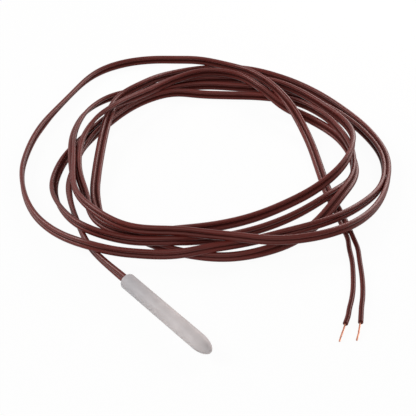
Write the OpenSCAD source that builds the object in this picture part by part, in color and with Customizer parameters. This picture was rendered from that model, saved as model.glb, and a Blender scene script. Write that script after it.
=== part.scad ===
// Thermistor temperature sensor: a plastic probe capsule on a long flat twin cord, lying on the floor.
// The origin is under the middle of the capsule, on the floor. X runs along the capsule to its nose, Z is up.
// All sizes are in millimetres.

/* [Capsule] */
// outer diameter of the capsule
probe_d = 6.0; // [5.9:0.1:7.5]
// length of the capsule from its rear face to its tip
probe_l = 47.8; // [44:0.2:50]
// wall thickness of the capsule
wall = 0.35; // [0.3:0.05:0.6]
// thickness of the capsule's closed rear end, which grips the cord
rear_wall = 2.0; // [1.2:0.1:3]
// length of the bullet-shaped nose
nose_l = 7.0; // [4.5:0.5:12]
// radius on the edge of the rear face
rear_edge = 0.9; // [0.2:0.05:0.9]

/* [Filling] */
// length of the resin plug that holds the cord
plug_l = 5.0; // [3:0.5:7]
// length of flat cord past the resin plug, before its cores part
stub_over = 2.5; // [1.5:0.5:3]
// length of each core past the flat cord
core_l = 4.0; // [3.5:0.5:5]
// length of the resin round the sensing bead
fill_l = 9.0; // [5:0.5:12]

/* [Sensing bead] */
// diameter of the bead's coating
bead_d = 2.8; // [2.6:0.1:3.6]
// width of the square chip
chip_w = 1.4; // [1:0.1:1.6]
// thickness of the chip
chip_t = 0.6; // [0.4:0.05:0.8]
// thickness of each electrode plate
plate_t = 0.1; // [0.05:0.01:0.15]

/* [Inner wires] */
// diameter of the bead's wires
wire_d = 0.3; // [0.2:0.05:0.5]
// outer diameter of the sleeves on the bead's wires
sleeve_d = 0.8; // [0.7:0.05:1.1]
// diameter of the crimped splices
splice_d = 1.2; // [1.1:0.05:1.3]
// length of the crimped splices
splice_l = 5.0; // [3:0.5:6]
// wall thickness of the shrink tubes
shrink_t = 0.3; // [0.15:0.05:0.35]
// length of each shrink tube past each end of its splice
shrink_over = 1.5; // [0.5:0.1:2]

/* [Cord] */
// width of the twin cord over both cores
cord_w = 4.2; // [3.8:0.05:4.3]
// thickness of the twin cord, the diameter of one core
cord_t = 1.9; // [1.6:0.05:1.95]
// diameter of the twisted copper in a core
copper_d = 0.7; // [0.5:0.05:0.9]
// length of bare copper on each leg
bare_l = 9.0; // [5:0.5:12]

/* [Coil] */
// sideways shift of the coil's inner face, plus is towards its middle
coil_in = 0.0; // [0:0.5:3]
// height of the coil where five strands lie over each other, in cord widths
coil_high = 3.0; // [2.5:0.1:3.5]
// chamfer along the top edges of the coil
coil_edge = 2.0; // [1:0.5:3]

/* [Hidden] */

// gap between neighbours that are potted or stacked together
gap = 0.1;
// clear height between cords that cross
cross_gap = 0.2;
axis_z = probe_d / 2;
rear_x = -probe_l / 2;
tip_x = probe_l / 2;
bore_d = probe_d - 2 * wall;
nose_x = tip_x - nose_l;
bore_end = nose_x + 1;
// half the distance between the two cores, above and below the axis inside the capsule
half_pitch = (cord_w - cord_t) / 2;

// places along the capsule
bore_x = rear_x + rear_wall;
stub_end = bore_x + plug_l + stub_over;
core_end = stub_end + core_l;
splice_x = core_end + shrink_over + 1;
sleeve_x = splice_x + splice_l + shrink_over + 0.2;
bead_x = bore_end - 3.2;
sleeve_end = bead_x - bead_d / 2 - 0.8;
fill_x = bore_end - fill_l;

// a cylinder of radius r along X from x0 to x1, at height dz over the axis
module rod(x0, x1, r, dz = 0, n = 32)
    translate([x0, 0, axis_z + dz]) rotate([0, 90, 0]) cylinder(h = x1 - x0, r = r, $fn = n);

// the nose is half an ellipse, the rear edge a quarter round
nose_steps = 12;
edge_steps = 5;
nose_pts = [for (i = [0 : nose_steps]) let (a = 90 * i / nose_steps)
    [probe_d / 2 * cos(a), nose_x + nose_l * sin(a)]];
rear_pts = [for (i = [0 : edge_steps]) let (a = 90 * i / edge_steps)
    [probe_d / 2 - rear_edge + rear_edge * sin(a), rear_x + rear_edge - rear_edge * cos(a)]];

// outline of the twin cord across its length: v is the wide way, u the thin way
function twin_outline(u, v) = [[u, v - u * 0.8], [u * 0.5, v], [-u * 0.5, v], [-u, v - u * 0.8],
    [-u, u * 0.8 - v], [-u * 0.5, -v], [u * 0.5, -v], [u, u * 0.8 - v]];
twin = twin_outline(cord_t / 2, cord_w / 2);
function round_outline(r, n) = [for (i = [0 : n - 1]) [-r * sin(360 * i / n), r * cos(360 * i / n)]];
core = round_outline(cord_t / 2, 8);
bare = round_outline(copper_d / 2, 8);

// a tube through points p with a roll in degrees at each, 0 with the wide way upright
function unit(v) = v / norm(v);
function along(p, i) = unit(p[min(i + 1, len(p) - 1)] - p[max(i - 1, 0)]);
function side(t) = unit(cross(t, [0, 0, 1]));
function ring(p, t, a, s) = let (n = side(t), u = cross(n, t))
    [for (q = s) p + n * (q[0] * cos(a) - q[1] * sin(a)) + u * (q[0] * sin(a) + q[1] * cos(a))];
module tube(p, roll, s, t0 = undef, t1 = undef) {
    m = len(s);
    n = len(p);
    pts = [for (i = [0 : n - 1])
        let (t = i == 0 && t0 != undef ? t0 : (i == n - 1 && t1 != undef ? t1 : along(p, i)))
        each ring(p[i], t, roll[i], s)];
    faces = concat([[for (j = [0 : m - 1]) m - 1 - j]],
        [for (i = [0 : n - 2], j = [0 : m - 1], k = [0, 1]) let (a = i * m + j, b = i * m + (j + 1) % m)
            k == 0 ? [a, b, b + m] : [a, b + m, a + m]],
        [[for (j = [0 : m - 1]) (n - 1) * m + j]]);
    polyhedron(points = pts, faces = faces, convexity = 6);
}

// how the cord lies as a whole against the capsule: a turn about the origin in degrees, then a shift
lay_turn = 1.5;
lay_shift = [-0.1, 0.65];
function laid(q) = [q[0] * cos(lay_turn) - q[1] * sin(lay_turn), q[0] * sin(lay_turn) + q[1] * cos(lay_turn)]
    + lay_shift;

// a route point is [x, y, lift, roll]: the lift is the clear height under the cord in crossings of one cord
lift_unit = cord_w + cross_gap;
function half_high(a) = cord_w / 2 * abs(cos(a)) + cord_t / 2 * abs(sin(a));
function place(r) = [for (q = r) [each laid(q), q[2] * lift_unit + half_high(q[3])]];
function rolls(r) = [for (q = r) q[3]];

// from the capsule to the coil
lead_route = [[-35.4, 0.6, 0, 0], [-44.8, 1.2, 0, 0], [-50.6, 2.2, 0, 0], [-56.5, 4, 0, 0]];
lead_pts = concat([[rear_x, 0, axis_z], [rear_x - 4, 0, axis_z - 0.2]], place(lead_route));
lead_rolls = concat([0, 0], rolls(lead_route));

// the loose outer loop: off the coil at the front, round the left and up on the coil at the back
loop_route = [[-19.6, 23, 1, 0], [-24.5, 16.2, 1, 0], [-31, 10.6, 1, 0], [-36.6, 5.3, 1.05, 0], [-42.8, 1, 1.1, 0],
    [-51, -1.6, 0.8, 0], [-60, -2.6, 0.2, 0], [-69, -3.2, 0, 0], [-78, -3, 0, 0], [-87, -1, 0, 0],
    [-95, 2, 0, 0], [-103, 6, 0, 0], [-111, 11, 0, 0], [-118, 17, 0, 0], [-125, 24, 0, 0], [-131, 31, 0, 0],
    [-136, 38, 0, 0], [-141, 46, 0, 0], [-146, 55, 0, 0], [-152, 66, 0, 0], [-157, 76, 0, 0],
    [-160, 86, 0, 0], [-160, 96, 0, 0], [-157, 106, 0, 0], [-151, 115, 0.3, 0], [-143, 121, 0.9, 0],
    [-134, 125.5, 1.5, 0], [-125, 129.5, 1.55, 0], [-117, 132.8, 1.55, 0]];

// the tail: over the coil at the back, down inside it, flat under it at the right
tail_route = [[-117, 132.8, 1.55, 0], [-109, 134.8, 1.55, 0], [-100, 135, 1.55, 0], [-90, 134, 1.55, 0],
    [-81, 131.5, 1.55, 10], [-72.6, 129.4, 1.4, 30], [-64.5, 127, 1.1, 60], [-56.4, 123.6, 0.6, 75],
    [-48.5, 119.6, 0.25, 85], [-40.5, 114.6, 0, 90], [-32.6, 109, 0, 90], [-24.6, 103.4, 0, 90], [-17, 98, 0, 90],
    [-9, 93.5, 0, 90], [0, 88.5, 0, 90], [8, 83.5, 0, 90]];
loop_pts = place(loop_route);
tail_pts = place(tail_route);
joint_dir = unit(tail_pts[1] - loop_pts[len(loop_pts) - 2]);

// the two legs start from the tail's end, side by side
tail_end = tail_pts[len(tail_pts) - 1];
tail_dir = along(tail_pts, len(tail_pts) - 1);
tail_side = side(tail_dir);
leg_rise = cord_t / 2;
leg_a_route = [[15, 76.5], [21, 71.5], [26.5, 66], [31.5, 60.5], [35, 56], [38, 51.5], [40.5, 48], [42.5, 44.5]];
leg_b_route = [[17, 79], [22.5, 74], [28.5, 68.5], [33, 64], [37, 59.5], [40.5, 55], [43, 52], [45.5, 49]];
function leg_pts(route, s) = concat(
    [for (d = [0, 3.5]) tail_end + tail_side * s * half_pitch + tail_dir * d],
    [for (q = route) [each laid(q), leg_rise]]);
leg_a_pts = leg_pts(leg_a_route, 1);
leg_b_pts = leg_pts(leg_b_route, -1);
function none(p) = [for (q = p) 0];
function end_pt(p) = p[len(p) - 1];
function end_dir(p) = along(p, len(p) - 1);
function bare_pts(p) = [for (d = [0, 0.5, 1]) end_pt(p) + end_dir(p) * d * bare_l];

// the coil of five turns as one ring about its middle, in steps of 15 degrees from +X towards +Y:
// radius of the innermost strand, radius of the outermost strand, height in cord widths, 1 if a cord is under it
coil_mid = laid([-66, 77]);
coil_rows = [[46, 76, 2, 1], [50, 76, 2, 1], [56, 75.5, 2.5, 1], [59, 75.5, coil_high, 0],
    [58.5, 75, 2.5, 0], [57, 74, 2, 0], [55, 75, 1.5, 0], [54, 78, 1.5, 0], [55, 81, 1.5, 0],
    [55, 82, 1.5, 0], [57, 79.5, 1.5, 0], [57.5, 73.5, 2, 0], [54, 72, 2.5, 0], [52.5, 70.5, coil_high, 0],
    [49, 65.5, 2.5, 0], [47, 62, 2, 0], [47.5, 66.5, 2, 0], [51, 70, 2, 0], [57, 72.5, 2, 0],
    [58, 70, 2, 0], [54, 67, 2, 0], [49, 69, 2, 0], [46.5, 69, 2, 0], [45, 70.5, 2, 0]];
coil_sub = 3;
rows = len(coil_rows);
function row(i) = coil_rows[(i + rows) % rows];
function smooth(a, b, c, d, t) = b + 0.5 * t * (c - a + t * (2 * a - 5 * b + 4 * c - d + t * (3 * (b - c) + d - a)));
function soft(i, k, t) = smooth(row(i - 1)[k], row(i)[k], row(i + 1)[k], row(i + 2)[k], t);
function straight(i, k, t) = row(i)[k] * (1 - t) + row(i + 1)[k] * t;
function coil_section(i, t) = let (
    ri = soft(i, 0, t) - cord_t / 2 - coil_in,
    ro = soft(i, 1, t) + cord_t / 2,
    zt = straight(i, 2, t) * cord_w,
    zb = straight(i, 3, t) * (cord_t + cross_gap))
    [[ri, zb], [ro, zb], [ro, zt - coil_edge], [ro - coil_edge, zt], [ri + coil_edge, zt], [ri, zt - coil_edge]];

// the flat cord's way through the rear end and the resin behind it
module cord_hole(x0, x1) translate([x0, 0, axis_z]) rotate([90, 0, 90]) linear_extrude(x1 - x0)
    polygon(twin_outline(cord_t / 2 + gap / 2, cord_w / 2 + gap / 2));
module capsule() color("whitesmoke") difference() {
    translate([0, 0, axis_z]) rotate([0, 90, 0]) rotate_extrude($fn = 64) polygon(concat(
        [[0, rear_x]], rear_pts, nose_pts));
    rod(bore_x, bore_end - bore_d / 4, bore_d / 2, 0, 48);
    cord_hole(rear_x - 1, bore_x + 1);
    translate([bore_end - bore_d / 4 - 0.01, 0, axis_z]) rotate([0, 90, 0])
        cylinder(h = bore_d / 4, r1 = bore_d / 2, r2 = bore_d / 4, $fn = 48);
}
module rear_plug() color("gainsboro") difference() {
    rod(bore_x + gap, bore_x + plug_l, bore_d / 2 - gap / 2, 0, 48);
    cord_hole(bore_x - 1, bore_x + plug_l + 1);
}
module cord_stub() color("saddlebrown") translate([rear_x, 0, axis_z]) rotate([90, 0, 90])
    linear_extrude(stub_end - rear_x) polygon(twin);

module inner_core(s) difference() {
    rod(stub_end, core_end, cord_t / 2, s * half_pitch, 24);
    rod(core_end - 3, core_end + 1, copper_d / 2 + gap / 2, s * half_pitch, 24);
}
module inner_core_a() color("saddlebrown") inner_core(1);
module inner_core_b() color("saddlebrown") inner_core(-1);
module inner_copper(s) rod(core_end - 3 + gap, splice_x + splice_l * 0.45, copper_d / 2, s * half_pitch, 24);
module inner_copper_a() color("chocolate") inner_copper(1);
module inner_copper_b() color("chocolate") inner_copper(-1);

module splice(s) difference() {
    rod(splice_x, splice_x + splice_l, splice_d / 2, s * half_pitch, 24);
    rod(splice_x - 1, splice_x + splice_l * 0.45 + gap, copper_d / 2 + gap / 2, s * half_pitch, 24);
    rod(splice_x + splice_l * 0.55, splice_x + splice_l + 1, wire_d / 2 + gap / 2, s * half_pitch, 24);
}
module splice_a() color("silver") splice(1);
module splice_b() color("silver") splice(-1);
module shrink(s) difference() {
    rod(splice_x - shrink_over, splice_x + splice_l + shrink_over, splice_d / 2 + shrink_t, s * half_pitch, 32);
    rod(splice_x - shrink_over - 1, splice_x + splice_l + shrink_over + 1, splice_d / 2 + gap / 2,
        s * half_pitch, 32);
}
module shrink_a() color("dimgray") shrink(1);
module shrink_b() color("dimgray") shrink(-1);

// the bead's wires run straight from the splices, step in before the bead and lie flat on the chip's plates
plate_z = chip_t / 2 + plate_t;
wire_z = plate_z + wire_d / 2 + gap / 2;
wire_in = bead_x - bead_d / 2 - 0.1;
function wire_pts(s) = [[splice_x + splice_l * 0.55 + gap, 0, axis_z + s * half_pitch],
    [sleeve_end, 0, axis_z + s * half_pitch], [wire_in, 0, axis_z + s * wire_z],
    [bead_x + chip_w / 2, 0, axis_z + s * wire_z]];
module bead_wire(s, extra = 0) tube(wire_pts(s), [0, 0, 0, 0], round_outline(wire_d / 2 + extra, 12),
    [1, 0, 0], [1, 0, 0]);
module bead_wire_a() color("silver") bead_wire(1);
module bead_wire_b() color("silver") bead_wire(-1);
module sleeve(s) difference() {
    rod(sleeve_x, sleeve_end - gap, sleeve_d / 2, s * half_pitch, 24);
    rod(sleeve_x - 1, sleeve_end + 1, wire_d / 2 + gap / 2, s * half_pitch, 24);
}
module sleeve_a() color("ivory") sleeve(1);
module sleeve_b() color("ivory") sleeve(-1);

module thermistor_chip() color("darkslategray") translate([bead_x, 0, axis_z])
    cube([chip_w, chip_w, chip_t], center = true);
module chip_plate(s) translate([bead_x, 0, axis_z + s * (chip_t + plate_t) / 2])
    cube([chip_w, chip_w, plate_t], center = true);
module chip_plate_a() color("silver") chip_plate(1);
module chip_plate_b() color("silver") chip_plate(-1);
module bead_coat() color("black") difference() {
    translate([bead_x, 0, axis_z]) sphere(d = bead_d, $fn = 32);
    translate([bead_x, 0, axis_z]) cube([chip_w + gap, chip_w + gap, 2 * plate_z + gap], center = true);
    for (s = [-1, 1]) rod(wire_in - 1, bead_x + chip_w / 2 + gap / 2, wire_d / 2 + gap / 2, s * wire_z, 24);
}
module bead_fill() color("gainsboro") difference() {
    rod(fill_x, bore_end - bore_d / 4 - gap, bore_d / 2 - gap / 2, 0, 48);
    translate([bead_x, 0, axis_z]) sphere(d = bead_d + gap, $fn = 32);
    for (s = [-1, 1]) {
        bead_wire(s, gap / 2);
        rod(fill_x - 1, sleeve_end, sleeve_d / 2 + gap / 2, s * half_pitch, 24);
    }
}

module cord_lead() color("saddlebrown") tube(lead_pts, lead_rolls, twin, [-1, 0, 0]);
module cord_coil() color("saddlebrown") {
    n = rows * coil_sub;
    pts = [for (i = [0 : rows - 1], k = [0 : coil_sub - 1])
        let (a = (i + k / coil_sub) * 360 / rows + lay_turn)
        for (q = coil_section(i, k / coil_sub))
            [coil_mid[0] + q[0] * cos(a), coil_mid[1] + q[0] * sin(a), q[1]]];
    faces = [for (i = [0 : n - 1], j = [0 : 5], k = [0, 1])
        let (a = i * 6 + j, b = i * 6 + (j + 1) % 6, c = ((i + 1) % n) * 6 + (j + 1) % 6, d = ((i + 1) % n) * 6 + j)
        k == 0 ? [a, b, c] : [a, c, d]];
    polyhedron(points = pts, faces = faces, convexity = 8);
}
module cord_outer_loop() color("saddlebrown") tube(loop_pts, rolls(loop_route), twin, undef, joint_dir);
module cord_tail() color("saddlebrown") tube(tail_pts, rolls(tail_route), twin, joint_dir, tail_dir);
module leg_a() color("saddlebrown") tube(leg_a_pts, none(leg_a_pts), core, tail_dir);
module leg_b() color("saddlebrown") tube(leg_b_pts, none(leg_b_pts), core, tail_dir);
module copper_end_a() color("chocolate") tube(bare_pts(leg_a_pts), [0, 0, 0], bare);
module copper_end_b() color("chocolate") tube(bare_pts(leg_b_pts), [0, 0, 0], bare);

capsule();
rear_plug();
bead_fill();
bead_coat();
thermistor_chip();
chip_plate_a();
chip_plate_b();
bead_wire_a();
bead_wire_b();
sleeve_a();
sleeve_b();
splice_a();
splice_b();
shrink_a();
shrink_b();
inner_copper_a();
inner_copper_b();
inner_core_a();
inner_core_b();
cord_stub();
cord_lead();
cord_coil();
cord_outer_loop();
cord_tail();
leg_a();
leg_b();
copper_end_a();
copper_end_b();
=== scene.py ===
import bpy
import itertools
import math
import numpy as np
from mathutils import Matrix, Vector


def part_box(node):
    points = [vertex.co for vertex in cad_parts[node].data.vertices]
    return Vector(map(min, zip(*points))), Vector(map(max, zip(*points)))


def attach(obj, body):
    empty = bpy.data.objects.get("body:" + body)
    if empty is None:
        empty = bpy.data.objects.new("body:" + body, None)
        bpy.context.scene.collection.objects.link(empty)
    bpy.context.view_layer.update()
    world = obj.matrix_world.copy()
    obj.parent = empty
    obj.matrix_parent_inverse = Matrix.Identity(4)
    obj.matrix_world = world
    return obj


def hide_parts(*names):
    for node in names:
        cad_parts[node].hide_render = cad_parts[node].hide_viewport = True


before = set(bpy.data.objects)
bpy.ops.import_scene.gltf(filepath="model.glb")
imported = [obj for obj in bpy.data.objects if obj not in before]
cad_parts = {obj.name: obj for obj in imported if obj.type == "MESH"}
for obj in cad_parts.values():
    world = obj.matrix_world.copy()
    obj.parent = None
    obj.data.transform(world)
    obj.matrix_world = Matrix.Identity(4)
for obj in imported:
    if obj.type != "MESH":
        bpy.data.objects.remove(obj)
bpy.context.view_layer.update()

# The camera looks down at the coil at 36 degrees, from the side of the probe's nose and from about 0.4 m
# away, as in the photo.
camera_spot = Vector((0.20899, -0.15364, 0.23688))
camera_target = Vector((-0.04263, 0.05368, 0.0))
scene = bpy.context.scene
camera_data = bpy.data.cameras.new("camera")
camera_data.sensor_width = 36.0
camera_data.lens = 86.54
camera_data.clip_start = 0.01
camera = bpy.data.objects.new("camera", camera_data)
camera.location = camera_spot
camera.rotation_euler = (camera_target - camera_spot).to_track_quat("-Z", "Y").to_euler()
scene.collection.objects.link(camera)
scene.camera = camera

# The cord is a flat twin: two 1.9 mm cores in one soft brown plastic cover, joined along a groove, 4.2 mm
# wide. It leaves the capsule, winds five loose turns over itself, swings out in one wide loop and comes back
# through the middle as its tail. It mostly stands on its edge, because it was bent that way round.
mm = 0.001
core_r = 0.95
cord_width = 4.2
core_gap = cord_width / 2 - core_r
coil_middle = (-75.0, 75.0)

# The cord lies turned a little against the capsule: a turn about the origin, then a shift in mm.
lay_turn = math.radians(1.5)
lay_shift = (-0.1, 0.65)


def laid(point):
    """A point of the cord's lay, turned and shifted as it lies against the capsule."""
    x, y = point[:2]
    return (x * math.cos(lay_turn) - y * math.sin(lay_turn) + lay_shift[0],
            x * math.sin(lay_turn) + y * math.cos(lay_turn) + lay_shift[1], *point[2:])


# The runs that aren't wound: x, y, height of the middle in mm, and the roll in degrees, 0 on edge and 90
# flat. The first one leaves the middle of the capsule's rear end, which the frame gives. The capsule's radius
# is its real one, because the frame's faceted mesh is a little thinner.
rear, tip = (round(corner.x / mm, 3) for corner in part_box("capsule"))
probe_r = 3.0
exit_run = [(rear, 0, probe_r, 0), (rear - 4, 0, probe_r - 0.1, 2)]
lead_run = [(-35.4, 0.6, 2.2, 8), (-44.8, 1.2, 2, 10), (-50.6, 2.2, 2, 8), (-56.5, 4, 2, 5)]
loop_run = [(-19, 23, 6, 0), (-24.5, 16.2, 5.6, 0), (-31, 10.6, 5.2, 0), (-36.6, 5.3, 5.5, 0),
            (-42.8, 1, 6, 0), (-51, -1.6, 5, 0), (-60, -2.6, 3, 0), (-69, -3.2, 2, 0), (-78, -3, 2, 0),
            (-87, -1, 2, 0), (-95, 2, 2, 0), (-103, 6, 2, 0), (-111, 11, 2, 0), (-118, 17, 2, 0),
            (-125, 24, 2, 0), (-131, 31, 2, 0), (-136, 38, 2, 0), (-141, 46, 2, -15), (-146, 55, 2, -25),
            (-152, 66, 1.9, -28), (-157, 76, 1.9, -20), (-160, 86, 1.9, -8), (-160, 96, 1.9, 0),
            (-157, 106, 1.9, 0), (-151, 115, 2, 0), (-143, 121, 2.7, 0), (-134, 125.5, 4.2, 0),
            (-125, 129.5, 4.7, 0), (-117, 132.8, 4.7, 0)]
tail_run = [(-109, 134.8, 5.1, 0), (-100, 135, 6, 0), (-90, 134, 7, 0), (-81, 131.5, 7.8, 10),
            (-72.6, 129.4, 7, 30), (-64.5, 127, 5, 60), (-56.4, 123.6, 3, 75), (-48.5, 119.6, 1.6, 85),
            (-40.5, 114.6, 1, 90), (-32.6, 109, 1, 90), (-24.6, 103.4, 1, 90), (-17, 98, 1, 90),
            (-9, 93.5, 1, 90), (0, 88.5, 1, 90), (8, 83.5, 1, 90)]

# The five turns, clockwise from above: distance from the coil's middle at every 15 degrees, and how many
# cords it lies over there. The first turn starts where the lead ends, and the last one runs out in the loop.
step = 15
first_start, turn_start = 90, 60
turns = [
    [63.5, 56.8, 50.7, 47.3, 45.5, 45, 47, 50, 52.3, 49.3, 51.1, 57, 62, 63.6, 64.6, 67.8, 71, 71, 72.5, 74.5,
     74.5, 70],
    [64.5, 61.3, 52.1, 44.5, 40.5, 39.5, 41, 45.5, 52, 55.8, 65.4, 74.5, 78, 77.5, 76.7, 77.1, 80, 83.4, 84.2,
     85, 84, 78, 71.5, 67.5],
    [70.6, 66.3, 60.8, 54.8, 52, 52.5, 55, 59, 61.2, 59.1, 60.5, 64.1, 65.3, 65.3, 65.9, 66.6, 68.4, 68.5, 66,
     61, 56, 54.5, 55.5, 60.3],
    [68.8, 66.2, 56.6, 52.2, 49.3, 47.7, 45.7, 44, 44.7, 48.2, 56, 63.8, 63.6, 56.9, 55, 59.9, 65.2, 68.5,
     69.5, 67, 63.5, 62, 63, 68],
    [71.4, 73, 68.5, 63.5, 57, 51.5, 48.5, 48.2, 49.2, 52, 55.3, 58.2, 59.8, 65, 69.3, 73.2, 77.3, 81.5, 82.5,
     80, 77, 71.3, 72]]
levels = [
    [0, 0, 0, 0, 0, 0, 0, 0, 0, 0, 0, 0, 0.25, 0.5, 0.85, 0.9, 0.9, 0.9, 0.2, 0, 0, 0],
    [0, 0, 0, 0.3, 0.6, 0.8, 1, 1, 1, 1, 0.4, 0, 0, 0, 0, 0, 0, 0, 0, 0.4, 1, 1, 1.1, 1.25],
    [1.8, 1.8, 1.4, 1.05, 1, 0.85, 0.5, 0.2, 0, 0, 0, 0, 0.5, 1, 1, 1, 1.4, 2, 1.75, 1, 0.3, 0, 0, 0.4],
    [0.8, 0.75, 0.75, 0.85, 1, 1.25, 1.8, 1.9, 1.55, 1.2, 1, 1, 1, 1, 0.3, 0, 0, 0, 0.1, 0.8, 0.3, 0, 0.1,
     0.85],
    [0.75, 0.9, 0.35, 0, 0, 0, 0, 0, 0, 0, 0, 0, 0, 0, 0, 0, 0, 0, 0.1, 0.6, 1, 0.6, 0.9]]
# Where the cord leans in the coil: angle travelled in degrees, and its roll.
twists = [(60, 5), (90, 0), (105, -30), (130, -35), (150, 0), (315, 0), (335, -55), (365, -60), (385, 0),
          (425, 0), (450, 78), (515, 82), (545, 0), (815, 0), (838, -45), (862, -50), (885, -38), (908, 0),
          (985, 0), (1005, 14), (1028, 10), (1060, -25), (1130, -25), (1150, 0), (1175, -35), (1245, -40),
          (1265, 0), (1335, 0), (1355, 30), (1385, 30), (1405, 0), (1525, 0), (1542, 42), (1562, 42),
          (1585, 0), (1860, 0)]

coil_run = []
for turn, (radii, lifts) in enumerate(zip(turns, levels)):
    first = first_start if turn == 0 else turn_start
    for k, (radius, lift) in enumerate(zip(radii, lifts)):
        angle = turn * 360 + first + k * step
        coil_run.append((coil_middle[0] + radius * math.cos(math.radians(angle)),
                         coil_middle[1] - radius * math.sin(math.radians(angle)),
                         cord_width / 2 + cord_width * lift, np.interp(angle, *zip(*twists))))


def smooth_line(points, spacing, steps=12):
    """A smooth curve through the points, as evenly spaced stations."""
    p = np.array(points, float)
    p = np.vstack([2 * p[0] - p[1], p, 2 * p[-1] - p[-2]])
    t = np.linspace(0, 1, steps, endpoint=False)[:, None]
    parts = []
    for a, b, c, d in zip(p[:-3], p[1:-2], p[2:-1], p[3:]):
        parts.append(b + 0.5 * t * (c - a + t * (2 * a - 5 * b + 4 * c - d + t * (3 * (b - c) + d - a))))
    fine = np.vstack(parts + [p[-2:-1]])
    reach = np.r_[0, np.cumsum(np.linalg.norm(np.diff(fine[:, :3], axis=0), axis=1))]
    at = np.linspace(0, reach[-1], int(round(reach[-1] / spacing)) + 1)
    return np.stack([np.interp(at, reach, fine[:, k]) for k in range(fine.shape[1])], axis=1)


def blur(values, passes):
    """Evens out neighbouring stations, with the ends kept."""
    for _ in range(passes):
        values = np.vstack([values[:1], (values[:-2] + 2 * values[1:-1] + values[2:]) / 4, values[-1:]])
    return values


def core_lines(p, roll):
    """The middles of the two cores at each station, the upper one first."""
    along = np.gradient(p, axis=0)
    along /= np.linalg.norm(along, axis=1)[:, None]
    across = np.cross(along, (0, 0, 1.0))
    across /= np.linalg.norm(across, axis=1)[:, None]
    up = np.cross(across, along)
    a = np.radians(roll)[:, None]
    way = up * np.cos(a) - across * np.sin(a)
    return np.stack([p + way * core_gap, p - way * core_gap])


# The cord settles: every core keeps a core's thickness from every other one and from the floor. A stretch
# that lies in another is pushed off it, both give way, and the push is spread along the cord as stiffness
# does. Lengths are in mm.
station = 2.0
route = smooth_line(exit_run + [laid(p) for p in lead_run + coil_run + loop_run + tail_run], station)
place, roll = route[:, :3].copy(), route[:, 3].copy()
planned = place.copy()
count = len(place)

# Cores stay this far apart, middle to middle. Those that come near are searched for every few rounds, and
# segments of one short stretch of cord don't push each other.
apart = 2 * core_r + 0.06
near = 3.9
own_stretch = 6
rounds = 240
rounds_per_search = 8

# A stretch planned this much higher than another lies over it, and is lifted off by so much if it got under.
clearly_over = 0.6
lift_off = 0.4

# The stiffness: passes that even out the moves of each round and the settled cord, and the share of a move
# that stays in the next round.
passes_per_round, last_passes = 2, 6
kept_move = 0.998


def near_pairs(cores):
    """Pairs of core segments that come near each other, leaving out neighbours along the cord."""
    flat = ((cores[:, :-1] + cores[:, 1:]) / 2).reshape(-1, 3)
    index = np.tile(np.arange(count - 1), 2)
    kind = np.repeat([0, 1], count - 1)
    boxes = {}
    for i, cell in enumerate(map(tuple, np.floor(flat / near).astype(int))):
        boxes.setdefault(cell, []).append(i)
    left, right = [], []
    for (x, y, z), mine in boxes.items():
        for dx, dy, dz in itertools.product((-1, 0, 1), repeat=3):
            other = boxes.get((x + dx, y + dy, z + dz))
            if other:
                a, b = np.meshgrid(mine, other)
                keep = (a < b) & (np.abs(index[a] - index[b]) > own_stretch)
                left.append(a[keep])
                right.append(b[keep])
    left, right = np.concatenate(left), np.concatenate(right)
    close = np.linalg.norm(flat[left] - flat[right], axis=1) < near
    return kind[left[close]], index[left[close]], kind[right[close]], index[right[close]]


def closest(p1, q1, p2, q2):
    """Where two segments come closest: shares along both, and the way from the second to the first."""
    d1, d2, r = q1 - p1, q2 - p2, p1 - p2
    a, e, f = (d1 * d1).sum(1), (d2 * d2).sum(1), (d2 * r).sum(1)
    b, c = (d1 * d2).sum(1), (d1 * r).sum(1)
    den = a * e - b * b
    s = np.clip(np.where(den > 1e-9, (b * f - c * e) / np.maximum(den, 1e-9), 0.5), 0, 1)
    t = np.clip((b * s + f) / e, 0, 1)
    s = np.clip((b * t - c) / a, 0, 1)
    return s, t, p1 + d1 * s[:, None] - p2 - d2 * t[:, None]


for n in range(rounds):
    cores = core_lines(place, roll)
    if n % rounds_per_search == 0:
        ka, ia, kb, ib = near_pairs(cores)
    s, t, gap = closest(cores[ka, ia], cores[ka, ia + 1], cores[kb, ib], cores[kb, ib + 1])
    dist = np.linalg.norm(gap, axis=1)
    hit = dist < apart
    push = gap[hit] / np.maximum(dist[hit], 1e-6)[:, None] * (apart - dist[hit])[:, None] * 0.5
    # a cord that is laid over another stays over it, also where their cores start out interlocked
    over = planned[ia[hit], 2] - planned[ib[hit], 2]
    locked = (np.abs(over) > clearly_over) & (over * push[:, 2] <= 0)
    push[locked] = np.sign(over[locked])[:, None] * (0, 0, lift_off)
    move = np.zeros_like(place)
    weight = np.full(count, 1e-9)
    for index, share, sign in ((ia, 1 - s, 1), (ia + 1, s, 1), (ib, 1 - t, -1), (ib + 1, t, -1)):
        np.add.at(move, index[hit], sign * push * share[hit][:, None])
        np.add.at(weight, index[hit], share[hit])
    move /= np.maximum(weight, 1)[:, None]
    # the cord's stiffness evens the moves out, and draws it back a little to where it was laid
    place = planned + blur(place + move - planned, passes_per_round) * kept_move
    place[:, 2] += np.maximum(core_r - core_lines(place, roll)[:, :, 2].min(axis=0), 0)
settled = smooth_line(np.column_stack([blur(place, last_passes), roll]), station)
place, roll = settled[:, :3], settled[:, 3]


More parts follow.
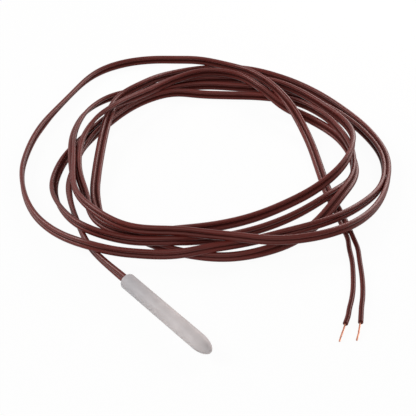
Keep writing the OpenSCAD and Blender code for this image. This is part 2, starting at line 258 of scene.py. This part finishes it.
def sweep_tree():
    """Geometry Nodes: runs an outline along a line of points, rolled by each point's own roll. The way round
    the outline and the length along the line stay as the attribute lay, for the materials."""
    tree = bpy.data.node_groups.new("run outline along cord", "GeometryNodeTree")
    for name, kind, way in (
            ("Line", "NodeSocketGeometry", "INPUT"), ("Outline", "NodeSocketObject", "INPUT"),
            ("Finish", "NodeSocketMaterial", "INPUT"), ("Cord", "NodeSocketGeometry", "OUTPUT")):
        tree.interface.new_socket(name, in_out=way, socket_type=kind)
    new, link = tree.nodes.new, tree.links.new
    start, end = new("NodeGroupInput"), new("NodeGroupOutput")
    line = new("GeometryNodeMeshToCurve")
    normal = new("GeometryNodeSetCurveNormal")
    normal.mode = "Z_UP"
    roll_in = new("GeometryNodeInputNamedAttribute")
    roll_in.data_type = "FLOAT"
    roll_in.inputs["Name"].default_value = "roll"
    tilt = new("GeometryNodeSetCurveTilt")
    along = new("GeometryNodeSplineParameter")
    keep_along = new("GeometryNodeCaptureAttribute")
    keep_along.capture_items.new("FLOAT", "along")
    shape = new("GeometryNodeObjectInfo")
    ring = new("GeometryNodeMeshToCurve")
    around = new("GeometryNodeSplineParameter")
    keep_around = new("GeometryNodeCaptureAttribute")
    keep_around.capture_items.new("FLOAT", "around")
    sweep = new("GeometryNodeCurveToMesh")
    sweep.inputs["Fill Caps"].default_value = True
    turn = new("ShaderNodeMath")
    turn.operation = "MULTIPLY"
    turn.inputs[1].default_value = 2 * math.pi
    cos, sin = new("ShaderNodeMath"), new("ShaderNodeMath")
    cos.operation, sin.operation = "COSINE", "SINE"
    lay = new("ShaderNodeCombineXYZ")
    store = new("GeometryNodeStoreNamedAttribute")
    store.data_type = "FLOAT_VECTOR"
    store.inputs["Name"].default_value = "lay"
    smooth = new("GeometryNodeSetShadeSmooth")
    real, paint = new("GeometryNodeRealizeInstances"), new("GeometryNodeSetMaterial")
    link(start.outputs["Line"], line.inputs[0])
    link(line.outputs[0], normal.inputs["Curve"])
    link(normal.outputs[0], tilt.inputs["Curve"])
    link(roll_in.outputs["Attribute"], tilt.inputs["Tilt"])
    link(tilt.outputs[0], keep_along.inputs[0])
    link(along.outputs["Length"], keep_along.inputs[1])
    link(start.outputs["Outline"], shape.inputs["Object"])
    link(shape.outputs["Geometry"], ring.inputs[0])
    link(ring.outputs[0], keep_around.inputs[0])
    link(around.outputs["Factor"], keep_around.inputs[1])
    link(keep_along.outputs[0], sweep.inputs["Curve"])
    link(keep_around.outputs[0], sweep.inputs["Profile Curve"])
    link(keep_around.outputs[1], turn.inputs[0])
    link(turn.outputs[0], cos.inputs[0])
    link(turn.outputs[0], sin.inputs[0])
    link(cos.outputs[0], lay.inputs["X"])
    link(sin.outputs[0], lay.inputs["Y"])
    link(keep_along.outputs[1], lay.inputs["Z"])
    link(sweep.outputs[0], store.inputs["Geometry"])
    link(lay.outputs[0], store.inputs["Value"])
    link(store.outputs[0], smooth.inputs["Geometry"])
    link(smooth.outputs[0], real.inputs[0])
    link(real.outputs[0], paint.inputs["Geometry"])
    link(start.outputs["Finish"], paint.inputs["Material"])
    link(paint.outputs[0], end.inputs[0])
    return tree


sweep = sweep_tree()


def outline(name, points):
    """A closed outline in its own plane, for the sweep to run along a cord."""
    mesh = bpy.data.meshes.new(name)
    mesh.from_pydata([(x * mm, y * mm, 0) for x, y in points],
                     [(k, (k + 1) % len(points)) for k in range(len(points))], [])
    return bpy.data.objects.new(name, mesh)


def open_line(name, points):
    """An object that holds a line of points in mm, for a Geometry Nodes tree to build on."""
    mesh = bpy.data.meshes.new(name + "_line")
    mesh.from_pydata([tuple(p * mm) for p in np.asarray(points, float)],
                     [(k, k + 1) for k in range(len(points) - 1)], [])
    piece = bpy.data.objects.new(name, mesh)
    scene.collection.objects.link(piece)
    return piece


def built(piece, tree, finish, inputs):
    """The piece as a plain mesh, built on its line by a Geometry Nodes tree with the named inputs."""
    modifier = piece.modifiers.new("build", "NODES")
    modifier.node_group = tree
    sockets = {item.name: item.identifier for item in tree.interface.items_tree if item.in_out == "INPUT"}
    for name, value in {**inputs, "Finish": finish}.items():
        modifier[sockets[name]] = value
    result = bpy.data.meshes.new_from_object(piece.evaluated_get(bpy.context.evaluated_depsgraph_get()))
    piece.modifiers.remove(modifier)
    piece.data = result
    result.name = piece.name
    result.materials.clear()
    result.materials.append(finish)
    return piece


def swept(name, line, rolls, shape, finish):
    """A plain mesh piece: the outline run along the line, both in mm, with the roll in degrees."""
    piece = open_line(name, line)
    # a curve's tilt turns the other way round from the roll
    tilts = -np.radians(np.broadcast_to(rolls, (len(line),)))
    piece.data.attributes.new("roll", "FLOAT", "POINT").data.foreach_set("value", tilts.astype(np.float32))
    return built(piece, sweep, finish, {"Outline": shape})


def noise_group():
    """Shader group: a soft-edged mask from stretched noise, for the wear and grain of the finishes."""
    group = bpy.data.node_groups.new("soft noise mask", "ShaderNodeTree")
    group.interface.new_socket("Vector", in_out="INPUT", socket_type="NodeSocketVector")
    group.interface.new_socket("Stretch", in_out="INPUT", socket_type="NodeSocketVector")
    for name in ("Scale", "Detail", "Low", "High"):
        group.interface.new_socket(name, in_out="INPUT", socket_type="NodeSocketFloat")
    group.interface.new_socket("Mask", in_out="OUTPUT", socket_type="NodeSocketFloat")
    start, end = group.nodes.new("NodeGroupInput"), group.nodes.new("NodeGroupOutput")
    stretch, noise = group.nodes.new("ShaderNodeMapping"), group.nodes.new("ShaderNodeTexNoise")
    spread = group.nodes.new("ShaderNodeMapRange")
    spread.interpolation_type = "SMOOTHSTEP"
    for source, socket in (
            (start.outputs["Vector"], stretch.inputs["Vector"]),
            (start.outputs["Stretch"], stretch.inputs["Scale"]),
            (stretch.outputs[0], noise.inputs["Vector"]),
            (start.outputs["Scale"], noise.inputs["Scale"]),
            (start.outputs["Detail"], noise.inputs["Detail"]),
            (noise.outputs[0], spread.inputs["Value"]),
            (start.outputs["Low"], spread.inputs["From Min"]),
            (start.outputs["High"], spread.inputs["From Max"]),
            (spread.outputs[0], end.inputs[0])):
        group.links.new(source, socket)
    return group


soft_noise = noise_group()


def noise_mask(material, vector, stretch=(1, 1, 1), scale=1.0, detail=3.0, low=0.35, high=0.65):
    """The noise mask, placed in a material with its own values."""
    node = material.node_tree.nodes.new("ShaderNodeGroup")
    node.node_tree = soft_noise
    for name, value in (
            ("Stretch", stretch), ("Scale", scale), ("Detail", detail), ("Low", low), ("High", high)):
        node.inputs[name].default_value = value
    material.node_tree.links.new(vector, node.inputs["Vector"])
    return node.outputs["Mask"]


def new_material(name):
    """A material, and the inputs of its Principled shader."""
    material = bpy.data.materials.new(name)
    material.use_nodes = True
    return material, material.node_tree.nodes["Principled BSDF"].inputs


def feed(material, source, socket):
    """Links a socket to another node's output, or sets it to a plain number or colour."""
    if isinstance(source, bpy.types.NodeSocket):
        material.node_tree.links.new(source, socket)
    else:
        socket.default_value = (*source, 1) if isinstance(source, tuple) else source


def blend_colours(material, mask, low, high):
    """A colour that goes from low to high with a mask. Either may be a blend itself."""
    mix = material.node_tree.nodes.new("ShaderNodeMix")
    mix.data_type = "RGBA"
    first, second, result = mix.inputs[6], mix.inputs[7], mix.outputs[2]
    for source, socket in ((mask, mix.inputs[0]), (low, first), (high, second)):
        feed(material, source, socket)
    return result


def blend_values(material, mask, low, high):
    """A value that goes from low to high with a mask. Either may be a blend itself."""
    spread = material.node_tree.nodes.new("ShaderNodeMapRange")
    for source, socket in ((mask, "Value"), (low, "To Min"), (high, "To Max")):
        feed(material, source, spread.inputs[socket])
    return spread.outputs[0]


def soft_step(material, value, start, end, before=0.0, after=1.0):
    """A mask that goes softly from before to after, while a value goes from start to end."""
    spread = material.node_tree.nodes.new("ShaderNodeMapRange")
    spread.interpolation_type = "SMOOTHSTEP"
    for source, socket in ((value, "Value"), (start, "From Min"), (end, "From Max"), (before, "To Min"),
                           (after, "To Max")):
        feed(material, source, spread.inputs[socket])
    return spread.outputs[0]


def add_relief(material, height, strength, depth):
    """A fine relief on a material's surface, from a mask, with its depth in m."""
    bump = material.node_tree.nodes.new("ShaderNodeBump")
    bump.inputs["Strength"].default_value = strength
    bump.inputs["Distance"].default_value = depth
    feed(material, height, bump.inputs["Height"])
    feed(material, bump.outputs[0], material.node_tree.nodes["Principled BSDF"].inputs["Normal"])


# Extruded plastic shows faint lines along the cord from the die, and dull patches where it was handled. The
# groove between the two cores, where the lay attribute's Y is near 0, has a painted shade in its colour, and
# no sheen.
brown_dark, brown_light, groove_painted_shade = (0.082, 0.009, 0.006), (0.103, 0.0125, 0.009), (0.04, 0.005, 0.0035)
rough_clean, rough_handled, rough_groove = 0.40, 0.50, 0.95
groove_edge, groove_end = 0.12, 0.5
sheen = 0.09
pvc, pvc_inputs = new_material("brown cord plastic")
pvc_inputs["Specular IOR Level"].default_value = 0.25
pvc_inputs["Specular Tint"].default_value = (1.0, 0.70, 0.65, 1)
pvc_inputs["Coat Roughness"].default_value = 0.2
lay = pvc.node_tree.nodes.new("ShaderNodeAttribute")
lay.attribute_name = "lay"
die_lines = noise_mask(pvc, lay.outputs["Vector"], stretch=(1.6, 1.6, 45.0), detail=0.0, low=0.3, high=0.7)
handled = noise_mask(pvc, lay.outputs["Vector"], stretch=(0.8, 0.8, 60.0), detail=4.0, low=0.42, high=0.62)
split, side = pvc.node_tree.nodes.new("ShaderNodeSeparateXYZ"), pvc.node_tree.nodes.new("ShaderNodeMath")
side.operation = "ABSOLUTE"
feed(pvc, lay.outputs["Vector"], split.inputs[0])
feed(pvc, split.outputs["Y"], side.inputs[0])
groove = soft_step(pvc, side.outputs[0], groove_edge, groove_end, before=1.0, after=0.0)
crest_colour = blend_colours(pvc, handled, brown_dark, brown_light)
crest_roughness = blend_values(pvc, handled, rough_clean, rough_handled)
# the groove's darker colour is a painted shade, for the shade that falls in the recess between the cores
feed(pvc, blend_colours(pvc, groove, crest_colour, groove_painted_shade), pvc_inputs["Base Color"])
feed(pvc, blend_values(pvc, groove, crest_roughness, rough_groove), pvc_inputs["Roughness"])
feed(pvc, blend_values(pvc, groove, sheen, 0.0), pvc_inputs["Coat Weight"])
add_relief(pvc, die_lines, strength=0.35, depth=0.00003)

# The twin's outline: two round lobes, one over the other, and a thin web that is left between them in the
# groove. Each lobe runs from one side of the web round to the other, in steps of 10 degrees.
half_web = 0.3
lobe_start, lobe_end = -65, 245
lobe = [math.radians(a) for a in range(lobe_start, lobe_end + 1, 10)]
upper = [(core_r * math.cos(a), core_gap + core_r * math.sin(a)) for a in lobe]
lower = [(-x, -y) for x, y in upper]
twin_shape = outline("twin outline", upper + [(-half_web, 0)] + lower + [(half_web, 0)])
twin = swept("twin_cord", place, roll, twin_shape, pvc)


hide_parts("cord_lead", "cord_coil", "cord_outer_loop", "cord_tail")
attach(twin, "root")

# The cord's end is pulled apart along the groove into two round legs of one core each, about 50 mm long,
# that lie flat on the floor. Each is stripped at its end.
tail_end, tail_way = place[-1], (place[-1] - place[-3]) / np.linalg.norm(place[-1] - place[-3])
tail_side = np.cross(tail_way, (0, 0, 1.0))
in_tail, past_tail = -0.6, 3.5
leg_station = 1.2
core_sides = 20
leg_runs = {"leg_a": (1, [(15, 76.5), (21, 71.5), (26.5, 66), (31.5, 60.5), (35, 56), (38, 51.5), (40.5, 48),
                          (42.5, 44.5)]),
            "leg_b": (-1, [(17, 79), (22.5, 74), (28.5, 68.5), (33, 64), (37, 59.5), (40.5, 55), (43, 52),
                           (45.5, 49)])}
core_shape = outline("core outline", [(core_r * math.sin(a), core_r * math.cos(a))
                                      for a in np.linspace(0, 2 * math.pi, core_sides, endpoint=False)])
legs = {}
for name, (hand, points) in leg_runs.items():
    start = [tail_end + tail_side * hand * core_gap + tail_way * d for d in (in_tail, past_tail)]
    run = [(*p[:2], core_r, 0) for p in start] + [(*laid(p), core_r, 0) for p in points]
    line = smooth_line(run, leg_station)[:, :3]
    legs[name] = (swept(name + "_cover", line, 0, core_shape, pvc), line)

# Each bare end is seven fine copper strands of 0.22 mm, one in the middle and six twisted round it. One
# strand of the first end has sprung out of its twist.
strand_count = 7
strand_r = 0.00011
strand_ring = 2.02
strand_sides = 8
strand_points = 28
twists_per_end = 1.2
sprung_strand = 3
sprung_bend = 1.6


def strands_tree():
    """Geometry Nodes: copies a short line into twisted strands round a middle one, and lets one stray."""
    tree = bpy.data.node_groups.new("twist copper strands", "GeometryNodeTree")
    for name, kind, way in (
            ("Line", "NodeSocketGeometry", "INPUT"), ("Strands", "NodeSocketInt", "INPUT"),
            ("Strand Radius", "NodeSocketFloat", "INPUT"), ("Twists", "NodeSocketFloat", "INPUT"),
            ("Stray", "NodeSocketVector", "INPUT"), ("Finish", "NodeSocketMaterial", "INPUT"),
            ("Bundle", "NodeSocketGeometry", "OUTPUT")):
        tree.interface.new_socket(name, in_out=way, socket_type=kind)
    new, link = tree.nodes.new, tree.links.new
    start, end = new("NodeGroupInput"), new("NodeGroupOutput")

    def math_node(operation, a, b=None):
        node = new("ShaderNodeMath")
        node.operation = operation
        for socket, value in zip(node.inputs, (a, b)):
            if value is None:
                continue
            if isinstance(value, (int, float)):
                socket.default_value = value
            else:
                link(value, socket)
        return node.outputs[0]

    def scaled(vector, amount):
        node = new("ShaderNodeVectorMath")
        node.operation = "SCALE"
        link(vector, node.inputs[0])
        link(amount, node.inputs["Scale"])
        return node.outputs[0]

    def added(a, b):
        node = new("ShaderNodeVectorMath")
        node.operation = "ADD"
        link(a, node.inputs[0])
        link(b, node.inputs[1])
        return node.outputs[0]

    line = new("GeometryNodeMeshToCurve")
    fine = new("GeometryNodeResampleCurve")
    fine.inputs["Count"].default_value = strand_points
    upright = new("GeometryNodeSetCurveNormal")
    upright.mode = "Z_UP"
    copies = new("GeometryNodeDuplicateElements")
    copies.domain = "SPLINE"
    share = new("GeometryNodeSplineParameter").outputs["Factor"]
    normal, tangent = new("GeometryNodeInputNormal"), new("GeometryNodeInputTangent")
    across = new("ShaderNodeVectorMath")
    across.operation = "CROSS_PRODUCT"
    move = new("GeometryNodeSetPosition")
    wire = new("GeometryNodeCurvePrimitiveCircle")
    wire.inputs["Resolution"].default_value = strand_sides
    tube = new("GeometryNodeCurveToMesh")
    tube.inputs["Fill Caps"].default_value = True
    smooth, real, paint = (new("GeometryNodeSetShadeSmooth"), new("GeometryNodeRealizeInstances"),
                           new("GeometryNodeSetMaterial"))
    link(start.outputs["Line"], line.inputs[0])
    link(line.outputs[0], fine.inputs["Curve"])
    link(fine.outputs[0], upright.inputs["Curve"])
    link(upright.outputs[0], copies.inputs["Geometry"])
    link(start.outputs["Strands"], copies.inputs["Amount"])
    number = copies.outputs["Duplicate Index"]
    outer = math_node("GREATER_THAN", number, 0.5)
    place_round = math_node("MULTIPLY", number, 2 * math.pi / (strand_count - 1))
    twisted = math_node("MULTIPLY", math_node("MULTIPLY", share, start.outputs["Twists"]), 2 * math.pi)
    angle = math_node("ADD", place_round, twisted)
    out = math_node("MULTIPLY", math_node("MULTIPLY", start.outputs["Strand Radius"], strand_ring), outer)
    link(tangent.outputs[0], across.inputs[0])
    link(normal.outputs[0], across.inputs[1])
    ring = added(scaled(normal.outputs[0], math_node("MULTIPLY", math_node("COSINE", angle), out)),
                 scaled(across.outputs[0], math_node("MULTIPLY", math_node("SINE", angle), out)))
    sprung = math_node("COMPARE", number, sprung_strand)
    sprung.node.inputs[2].default_value = 0.5
    leave = math_node("MULTIPLY", math_node("POWER", share, sprung_bend), sprung)
    link(copies.outputs[0], move.inputs["Geometry"])
    link(added(ring, scaled(start.outputs["Stray"], leave)), move.inputs["Offset"])
    link(start.outputs["Strand Radius"], wire.inputs["Radius"])
    link(move.outputs[0], tube.inputs["Curve"])
    link(wire.outputs[0], tube.inputs["Profile Curve"])
    link(tube.outputs[0], smooth.inputs["Geometry"])
    link(smooth.outputs[0], real.inputs[0])
    link(real.outputs[0], paint.inputs["Geometry"])
    link(start.outputs["Finish"], paint.inputs["Material"])
    link(paint.outputs[0], end.inputs[0])
    return tree


copper, copper_inputs = new_material("bare copper")
copper_inputs["Metallic"].default_value = 1.0
copper_place = copper.node_tree.nodes.new("ShaderNodeTexCoord").outputs["Object"]
tarnish = noise_mask(copper, copper_place, scale=900.0)
copper_dull, copper_bright = (0.40, 0.16, 0.10), (0.66, 0.33, 0.23)
feed(copper, blend_colours(copper, tarnish, copper_dull, copper_bright), copper_inputs["Base Color"])
feed(copper, blend_values(copper, tarnish, 0.42, 0.28), copper_inputs["Roughness"])
strands = strands_tree()
strays = {"leg_a": (-0.0026, 0.0043, 0.0002), "leg_b": (0, 0, 0)}
tucked_in = 0.6
bare_runs = {"leg_a": [(0, 0, 0.92), (1.7, -2.8, 0.85), (3.4, -5.7, 0.6), (4.9, -8.1, 0.45)],
             "leg_b": [(0, 0, 0.92), (1.9, -2.6, 0.85), (3.8, -5.1, 0.6), (5.5, -7.7, 0.45)]}
for name, points in bare_runs.items():
    cover, line = legs[name]
    base = line[-1] - (line[-1] - line[-2]) * tucked_in
    bare = open_line(name + "_copper", [(base[0] + x, base[1] + y, z) for x, y, z in points])
    built(bare, strands, copper, {"Strands": strand_count, "Strand Radius": strand_r,
                                  "Twists": twists_per_end, "Stray": strays[name]})
    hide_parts("copper_end_" + name[-1])
    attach(bare, "root")
    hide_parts(name)
    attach(cover, "root")

# The capsule is one thin-walled moulding of pale, slightly clouded plastic: 6 mm across and 47.8 mm long,
# rounded at the rear where it grips the cord, and drawn to a blunt bullet nose. The mould's parting line is a
# ridge of two hundredths of a millimetre down both flanks.
nose, rear_r, mouth_r = 7.0, 0.9, 1.2
ridge_height, ridge_width, ridge_stop = 0.02, 0.05, 1.0
plain_start = 3
sides = 96
profile = [(rear, 0.0), (rear, mouth_r)]
profile += [(rear + rear_r * (1 - math.cos(a)), probe_r - rear_r * (1 - math.sin(a)))
            for a in np.radians([0, 18, 36, 54, 72, 90])]
profile += [(x, probe_r) for x in np.linspace(rear + plain_start, tip - nose, 14)]
profile += [(tip - nose + nose * math.sin(a), probe_r * math.cos(a)) for a in np.radians(np.arange(4, 89, 4))]
profile += [(tip, 0.0)]
verts, faces = [], []
for x, r in profile[1:-1]:
    ridged = rear + ridge_stop < x < tip - ridge_stop
    for k in range(sides):
        a = 2 * math.pi * k / sides
        flank = max(0.0, 1 - min(abs(math.sin(a)) / ridge_width, 1.0)) if ridged else 0.0
        across = r + ridge_height * flank
        verts.append((x * mm, across * math.cos(a) * mm, (probe_r + across * math.sin(a)) * mm))
rings = len(profile) - 2
for i in range(rings - 1):
    for k in range(sides):
        a, b = i * sides + k, i * sides + (k + 1) % sides
        faces.append((a, b, b + sides, a + sides))
verts += [(rear * mm, 0, probe_r * mm), (tip * mm, 0, probe_r * mm)]
faces += [(len(verts) - 2, (k + 1) % sides, k) for k in range(sides)]
last = (rings - 1) * sides
faces += [(len(verts) - 1, last + k, last + (k + 1) % sides) for k in range(sides)]
shell = bpy.data.meshes.new("capsule_shell")
shell.from_pydata(verts, [], faces)
shell.shade_smooth()
capsule = bpy.data.objects.new("capsule_shell", shell)
scene.collection.objects.link(capsule)

# The plastic's colour is darker from the rear to the middle and lighter in front, with a soft change between
# two places along the capsule. These two places along the capsule are in m.
dark_fades_from, light_from = -0.020, 0.002
rear_dark, rear_light = (0.410, 0.390, 0.398), (0.460, 0.437, 0.447)
front_dark, front_light = (0.520, 0.480, 0.477), (0.590, 0.544, 0.540)
plastic, plastic_inputs = new_material("pale capsule plastic")
plastic_inputs["Specular IOR Level"].default_value = 0.3
plastic_inputs["Subsurface Weight"].default_value = 0.8
plastic_inputs["Subsurface Radius"].default_value = (0.006, 0.0055, 0.0053)
plastic_place = plastic.node_tree.nodes.new("ShaderNodeTexCoord").outputs["Object"]
clouds = noise_mask(plastic, plastic_place, stretch=(1.0, 1.6, 1.6), scale=110.0)
spark_grain = noise_mask(plastic, plastic_place, scale=5200.0, detail=2.0, low=0.3, high=0.7)
split = plastic.node_tree.nodes.new("ShaderNodeSeparateXYZ")
feed(plastic, plastic_place, split.inputs[0])
towards_front = soft_step(plastic, split.outputs["X"], dark_fades_from, light_from)
rear_colour = blend_colours(plastic, clouds, rear_dark, rear_light)
front_colour = blend_colours(plastic, clouds, front_dark, front_light)
feed(plastic, blend_colours(plastic, towards_front, rear_colour, front_colour), plastic_inputs["Base Color"])
feed(plastic, blend_values(plastic, clouds, 0.5, 0.6), plastic_inputs["Roughness"])
add_relief(plastic, spark_grain, strength=0.15, depth=0.00003)
shell.materials.append(plastic)
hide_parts("capsule")
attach(capsule, "root")

# What the capsule holds is made in CAD, and no mesh here replaces it, so these pieces only get their
# finishes. First comes the end of the cord: the last of the twin, its two cores and their bared copper.


def inner_finish(name, pieces, dark, light, roughness, metal=0.0, scale=900.0):
    """A finish in two close shades, spread by a fine grain, for the CAD pieces that it names."""
    material, inputs = new_material(name)
    inputs["Metallic"].default_value = metal
    spot = material.node_tree.nodes.new("ShaderNodeTexCoord").outputs["Object"]
    grain = noise_mask(material, spot, scale=scale)
    feed(material, blend_colours(material, grain, dark, light), inputs["Base Color"])
    feed(material, blend_values(material, grain, *roughness), inputs["Roughness"])
    add_relief(material, grain, strength=0.2, depth=0.00002)
    for piece in pieces:
        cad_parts[piece].data.materials.clear()
        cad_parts[piece].data.materials.append(material)


inner_finish("brown plastic inside", ["cord_stub", "inner_core_a", "inner_core_b"],
             dark=(0.090, 0.014, 0.010), light=(0.112, 0.019, 0.014), roughness=(0.4, 0.5))
inner_finish("soldered copper", ["inner_copper_a", "inner_copper_b"],
             dark=(0.60, 0.25, 0.15), light=(0.86, 0.47, 0.33), roughness=(0.3, 0.45), metal=1.0)

# Two tinned crimps join the copper to the bead's wires. Each is pressed on, and a black shrink tube covers
# it from end to end.
inner_finish("tinned crimp", ["splice_a", "splice_b"],
             dark=(0.50, 0.48, 0.44), light=(0.66, 0.64, 0.60), roughness=(0.28, 0.42), metal=1.0)
inner_finish("black shrink tube", ["shrink_a", "shrink_b"],
             dark=(0.012, 0.012, 0.012), light=(0.024, 0.023, 0.022), roughness=(0.35, 0.5))

# The sensing bead: tinned wires in pale sleeves, a dark ceramic chip between two plates of fired silver, and
# the dipped coat round the chip.
inner_finish("tinned bead wire", ["bead_wire_a", "bead_wire_b"],
             dark=(0.55, 0.54, 0.52), light=(0.70, 0.69, 0.66), roughness=(0.25, 0.38), metal=1.0)
inner_finish("pale sleeve", ["sleeve_a", "sleeve_b"],
             dark=(0.62, 0.60, 0.54), light=(0.72, 0.70, 0.64), roughness=(0.35, 0.5))
inner_finish("dark ceramic", ["thermistor_chip"],
             dark=(0.025, 0.024, 0.026), light=(0.045, 0.044, 0.046), roughness=(0.55, 0.7), scale=4000.0)
inner_finish("fired silver", ["chip_plate_a", "chip_plate_b"],
             dark=(0.62, 0.60, 0.56), light=(0.80, 0.78, 0.74), roughness=(0.4, 0.6), metal=1.0, scale=4000.0)
inner_finish("dipped coat", ["bead_coat"],
             dark=(0.015, 0.018, 0.020), light=(0.030, 0.034, 0.036), roughness=(0.2, 0.35))

# Casting resin, poured in and hardened: a clear amber fill round the bead, and a grey plug at the rear that
# holds the cord.
inner_finish("amber resin fill", ["bead_fill"],
             dark=(0.30, 0.20, 0.10), light=(0.42, 0.31, 0.18), roughness=(0.15, 0.3), scale=400.0)
inner_finish("grey resin plug", ["rear_plug"],
             dark=(0.20, 0.19, 0.18), light=(0.30, 0.29, 0.27), roughness=(0.3, 0.5), scale=400.0)

# The floor is a plain white sheet. It is seen nearly white, also where metal mirrors it, and it keeps a soft
# shadow of the cord.
floor_half, floor_z = 3, -0.0001
floor_glow = 0.95


def white_background(tree, lit, white, output, share=1.0):
    """Shows a white shader to camera, glossy and transmission rays, to the given share, and the lit one to
    the rays that carry light."""
    path, both = tree.nodes.new("ShaderNodeLightPath"), tree.nodes.new("ShaderNodeMixShader")
    gloss, glass, part = (tree.nodes.new("ShaderNodeMath") for _ in range(3))
    gloss.operation = glass.operation = "MAXIMUM"
    part.operation = "MULTIPLY"
    part.inputs[1].default_value = share
    for source, socket in (
            (path.outputs["Is Camera Ray"], gloss.inputs[0]),
            (path.outputs["Is Glossy Ray"], gloss.inputs[1]),
            (gloss.outputs[0], glass.inputs[0]),
            (path.outputs["Is Transmission Ray"], glass.inputs[1]),
            (glass.outputs[0], part.inputs[0]),
            (part.outputs[0], both.inputs[0]),
            (lit.outputs[0], both.inputs[1]),
            (white.outputs[0], both.inputs[2]),
            (both.outputs[0], output.inputs[0])):
        tree.links.new(source, socket)


floor_mesh = bpy.data.meshes.new("floor")
corners = ((-1, -1), (1, -1), (1, 1), (-1, 1))
floor_mesh.from_pydata([(x * floor_half, y * floor_half, floor_z) for x, y in corners], [], [(0, 1, 2, 3)])
floor = bpy.data.objects.new("floor", floor_mesh)
scene.collection.objects.link(floor)
sheet = bpy.data.materials.new("white floor")
sheet.use_nodes = True
sheet.node_tree.nodes.clear()
matt, glow, output = (sheet.node_tree.nodes.new(kind) for kind in (
    "ShaderNodeBsdfDiffuse", "ShaderNodeEmission", "ShaderNodeOutputMaterial"))
matt.inputs["Color"].default_value = (0.8, 0.8, 0.8, 1)
glow.inputs["Color"].default_value = (1, 1, 1, 1)
glow.inputs["Strength"].default_value = 1.0
white_background(sheet.node_tree, matt, glow, output, floor_glow)
floor_mesh.materials.append(sheet)

# Soft studio light: a white room, a lamp from the left, a small low one close behind the coil that draws the
# light lines on the cord, a little warm, and a wide one from the front.
room_light = 0.15
world = bpy.data.worlds.new("white room")
world.use_nodes = True
scene.world = world
room, seen = world.node_tree.nodes["Background"], world.node_tree.nodes.new("ShaderNodeBackground")
for background, strength in ((room, room_light), (seen, 1.0)):
    background.inputs["Color"].default_value = (1, 1, 1, 1)
    background.inputs["Strength"].default_value = strength
white_background(world.node_tree, room, seen, world.node_tree.nodes["World Output"])


def soft_lamp(name, spot, target, size, power, colour=(1, 1, 1)):
    """A studio lamp behind a diffuser of that width and height, which faces the target."""
    data = bpy.data.lights.new(name, "AREA")
    data.shape = "RECTANGLE"
    data.size, data.size_y = size
    data.energy, data.color = power, colour
    lamp = bpy.data.objects.new(name, data)
    lamp.location = spot
    lamp.rotation_euler = (Vector(target) - Vector(spot)).to_track_quat("-Z", "Y").to_euler()
    scene.collection.objects.link(lamp)


soft_lamp("left lamp", (-0.85, -0.45, 0.55), target=(-0.05, 0.06, 0), size=(0.5, 0.4), power=8.0)
soft_lamp("back lamp", (-0.12, 0.5, 0.2), target=(-0.02, 0.12, 0), size=(0.45, 0.16), power=1.9,
          colour=(1, 0.91, 0.89))
soft_lamp("front lamp", (0.45, -0.42, 0.6), target=(-0.05, 0.06, 0), size=(0.9, 0.8), power=4.2)

scene.view_settings.view_transform = "Standard"
